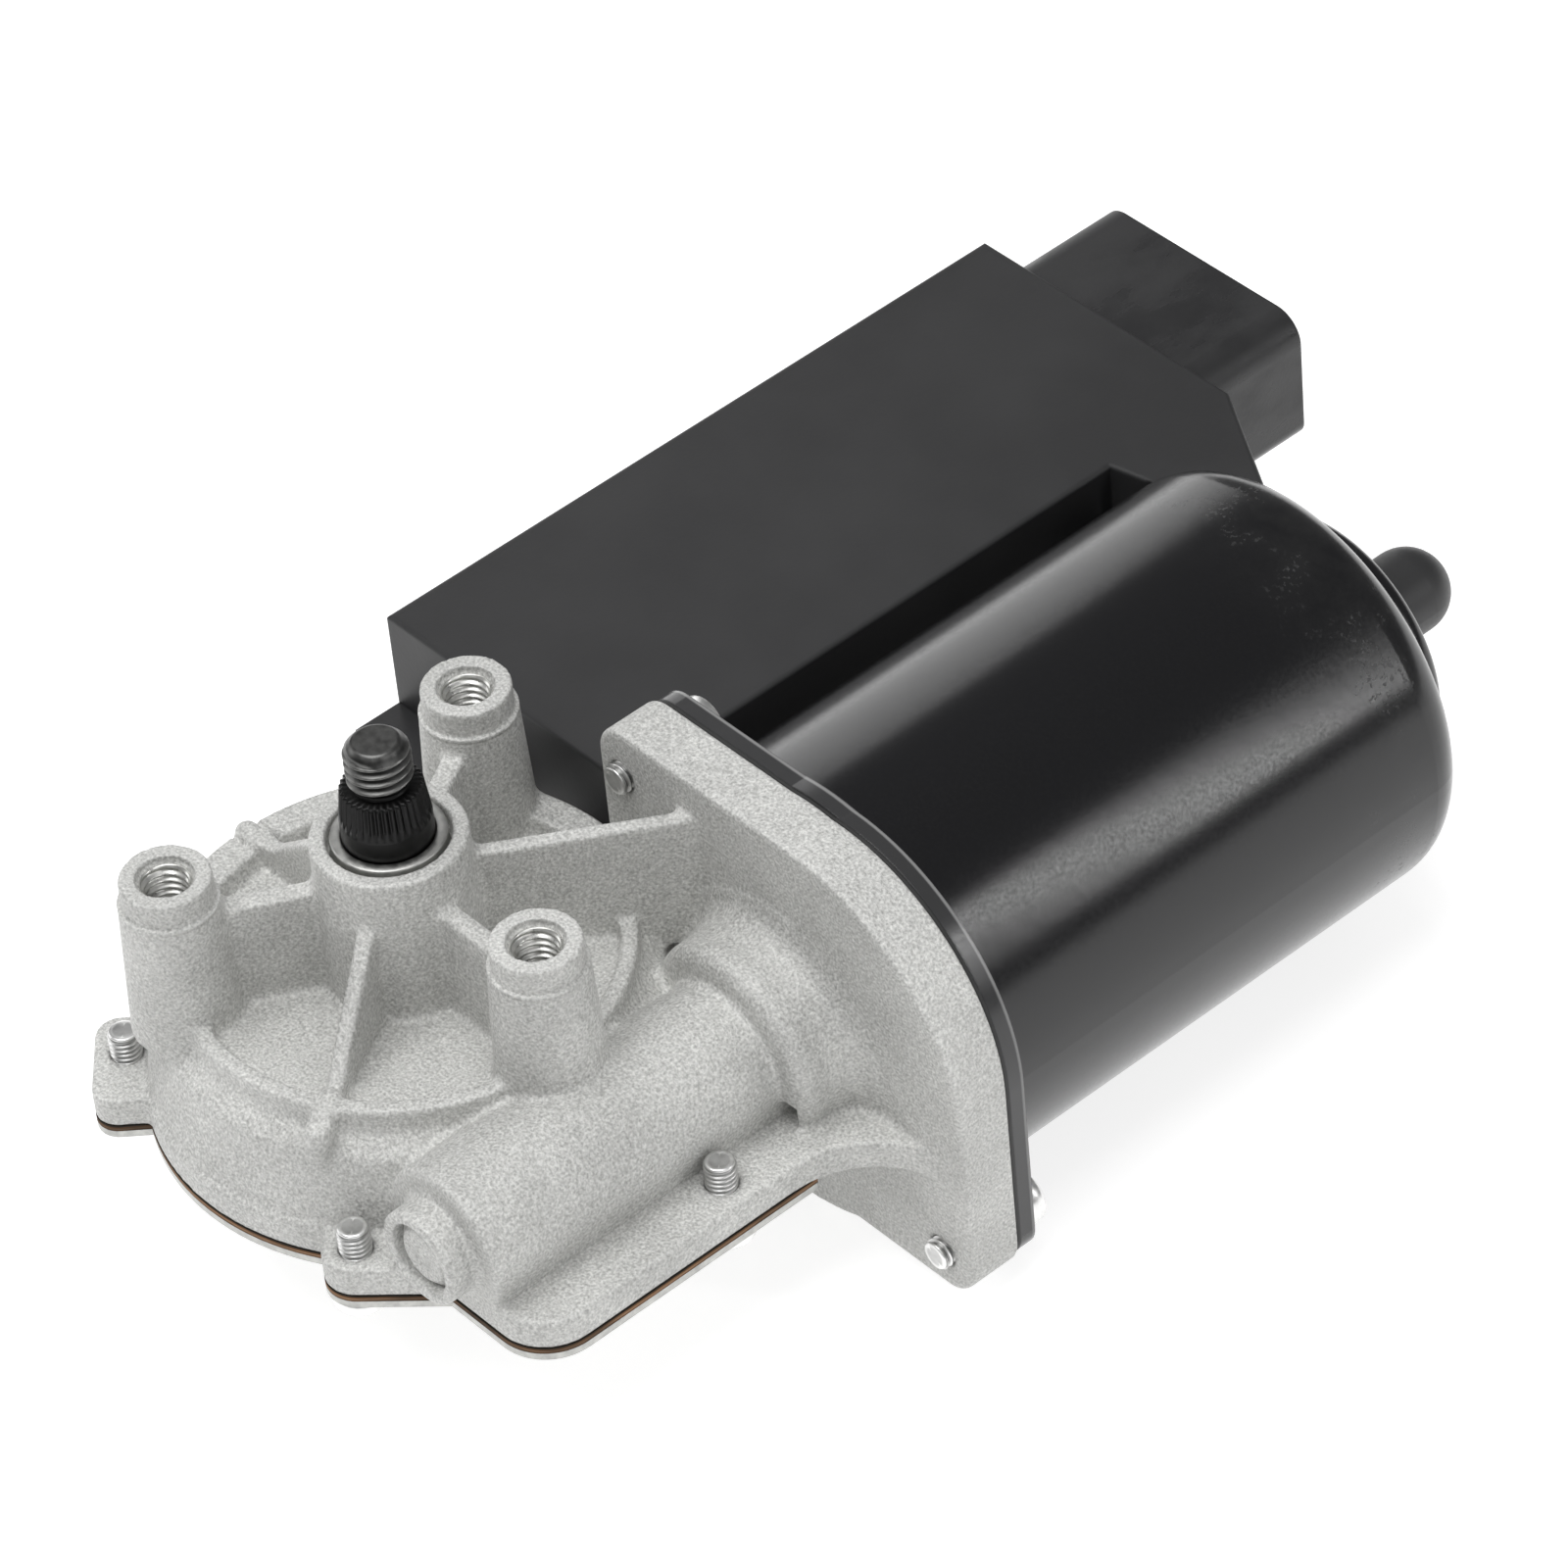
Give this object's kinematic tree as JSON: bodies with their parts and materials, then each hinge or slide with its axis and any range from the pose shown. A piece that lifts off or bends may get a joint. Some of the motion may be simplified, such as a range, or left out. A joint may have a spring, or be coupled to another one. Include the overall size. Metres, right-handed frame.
{
  "type": "windscreen wiper motor",
  "caption": "Geared wiper motor: ribbed cast gearbox with threaded bosses and splined output shaft, black deep-drawn motor can and a side box with a connector socket.",
  "frame": {"origin": "on the output shaft axis, in the plane of the three mounting boss faces", "axes": "+Z out along the output shaft, +Y from the gearbox along the motor can, +X from the output shaft towards the motor axis"},
  "size_m": [0.1057, 0.1826, 0.0708],
  "materials": {
    "cast_aluminium": "bead-blasted casting",
    "zinc_steel": "zinc plated",
    "screw_steel": "bright zinc",
    "shaft_steel": "black oxide",
    "bright_steel": "ground",
    "sintered_iron": "sintered",
    "gasket_board": "cork and rubber sheet",
    "black_seal": "moulded rubber",
    "black_enamel": "gloss black enamel",
    "white_nylon": "moulded nylon",
    "brown_plastic": "moulded phenolic",
    "black_plastic": "fine-grained moulding",
    "board_green": "glass-fibre board",
    "copper": "copper",
    "brass_sheet": "pressed brass",
    "ferrite": "sintered ferrite",
    "core_steel": "stacked laminations",
    "carbon": "carbon brush",
    "spring_steel": "spring wire"
  },
  "bodies": {
    "housing": {"gear_housing": "cast_aluminium", "cover_gasket": "gasket_board", "bottom_cover": "zinc_steel", "cover_screws": "screw_steel", "upper_bush": "sintered_iron", "lower_bush": "sintered_iron", "park_carrier": "brown_plastic", "contact_fingers": "brass_sheet", "motor_can": "black_enamel", "can_gasket": "black_seal", "flange_screws": "screw_steel", "upper_magnet": "ferrite", "lower_magnet": "ferrite", "magnet_clips": "spring_steel", "bearing_outer_ring": "bright_steel", "bearing_balls": "bright_steel", "nose_bush": "sintered_iron", "thrust_plug": "cast_aluminium", "rear_bush": "sintered_iron", "rear_retainer": "spring_steel", "thrust_ball": "bright_steel", "brush_plate": "brown_plastic", "brush_common": "carbon", "brush_low_speed": "carbon", "brush_high_speed": "carbon", "holder_common": "brass_sheet", "holder_low_speed": "brass_sheet", "holder_high_speed": "brass_sheet", "spring_common": "spring_steel", "spring_low_speed": "spring_steel", "spring_high_speed": "spring_steel", "choke_1": "copper", "choke_2": "copper", "electronics_cover": "black_plastic", "electronics_base": "black_plastic", "box_screws": "screw_steel", "circuit_board": "board_green", "relay_1": "black_plastic", "relay_2": "black_plastic", "connector_shroud": "black_plastic", "terminal_blades": "brass_sheet"},
    "output": {"output_shaft": "shaft_steel", "shaft_seal": "black_seal", "thrust_washer": "bright_steel", "drive_gear": "white_nylon", "park_disc": "copper"},
    "rotor": {"armature_shaft": "bright_steel", "lamination_core": "core_steel", "windings": "copper", "commutator": "copper", "bearing_inner_ring": "bright_steel"}
  },
  "joints": [
    {"name": "armature_spin", "type": "hinge", "parent": "housing", "child": "rotor", "pos_m": [0.0324, 0, -0.0279], "axis": [0, 1, 0], "continuous": true},
    {"name": "output_turn", "type": "hinge", "parent": "housing", "child": "output", "pos_m": [0, 0, 0], "axis": [0, 0, 1], "continuous": true}
  ],
  "couplings": [
    {"joint": "output_turn", "follows": "armature_spin", "ratio": -0.018868}
  ]
}
